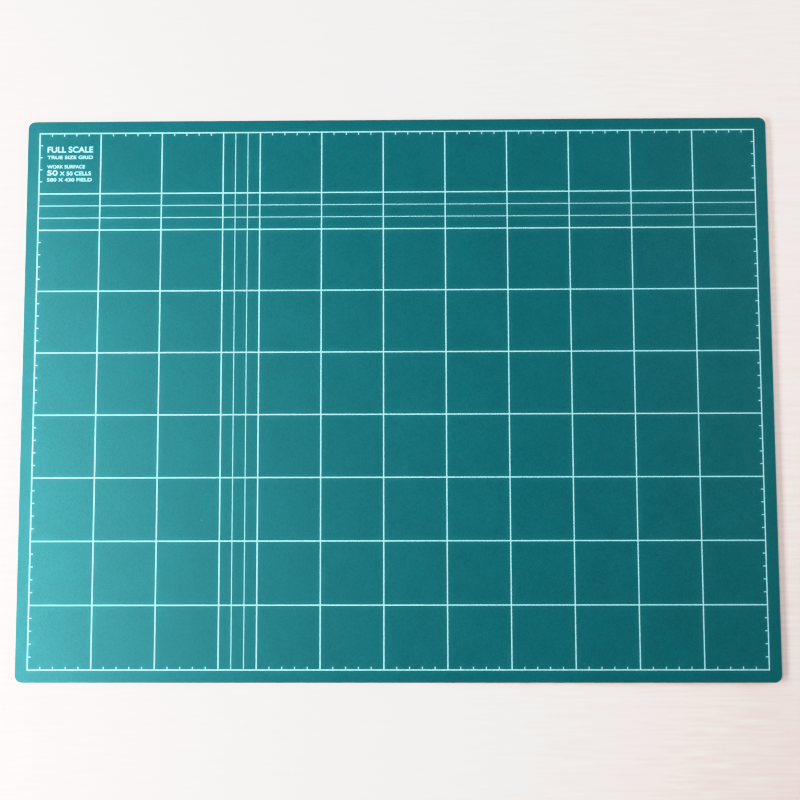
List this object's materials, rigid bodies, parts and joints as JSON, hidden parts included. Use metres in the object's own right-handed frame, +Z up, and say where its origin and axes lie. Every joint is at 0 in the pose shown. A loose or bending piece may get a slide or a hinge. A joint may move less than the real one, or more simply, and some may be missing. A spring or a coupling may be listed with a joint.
{
  "type": "self healing mat",
  "caption": "Thin flat mat with rounded corners, laminated from soft green plies and a stiff core, with a white ruled grid for measuring; it lies on a bench and takes knife cuts.",
  "frame": {"origin": "centre of the underside, on the surface that the mat lies on", "axes": "+X along the 600 mm side, +Y along the 450 mm side and away from the user, +Z up out of the ruled face; the legend is in the corner towards -X and +Y"},
  "size_m": [0.6, 0.45, 0.003],
  "materials": {
    "face_pvc": "matte",
    "tie_pvc": "matte",
    "core_pvc": "matte",
    "ink": "satin"
  },
  "bodies": {
    "root": {"base_skin": "face_pvc", "lower_tie_ply": "tie_pvc", "core_board": "core_pvc", "upper_tie_ply": "tie_pvc", "cutting_skin": "face_pvc", "border_line": "ink", "main_lines_across": "ink", "main_lines_along": "ink", "fine_lines_across": "ink", "fine_lines_along": "ink", "far_edge_ticks": "ink", "near_edge_ticks": "ink", "left_edge_ticks": "ink", "right_edge_ticks": "ink", "scale_legend": "ink"}
  },
  "joints": []
}
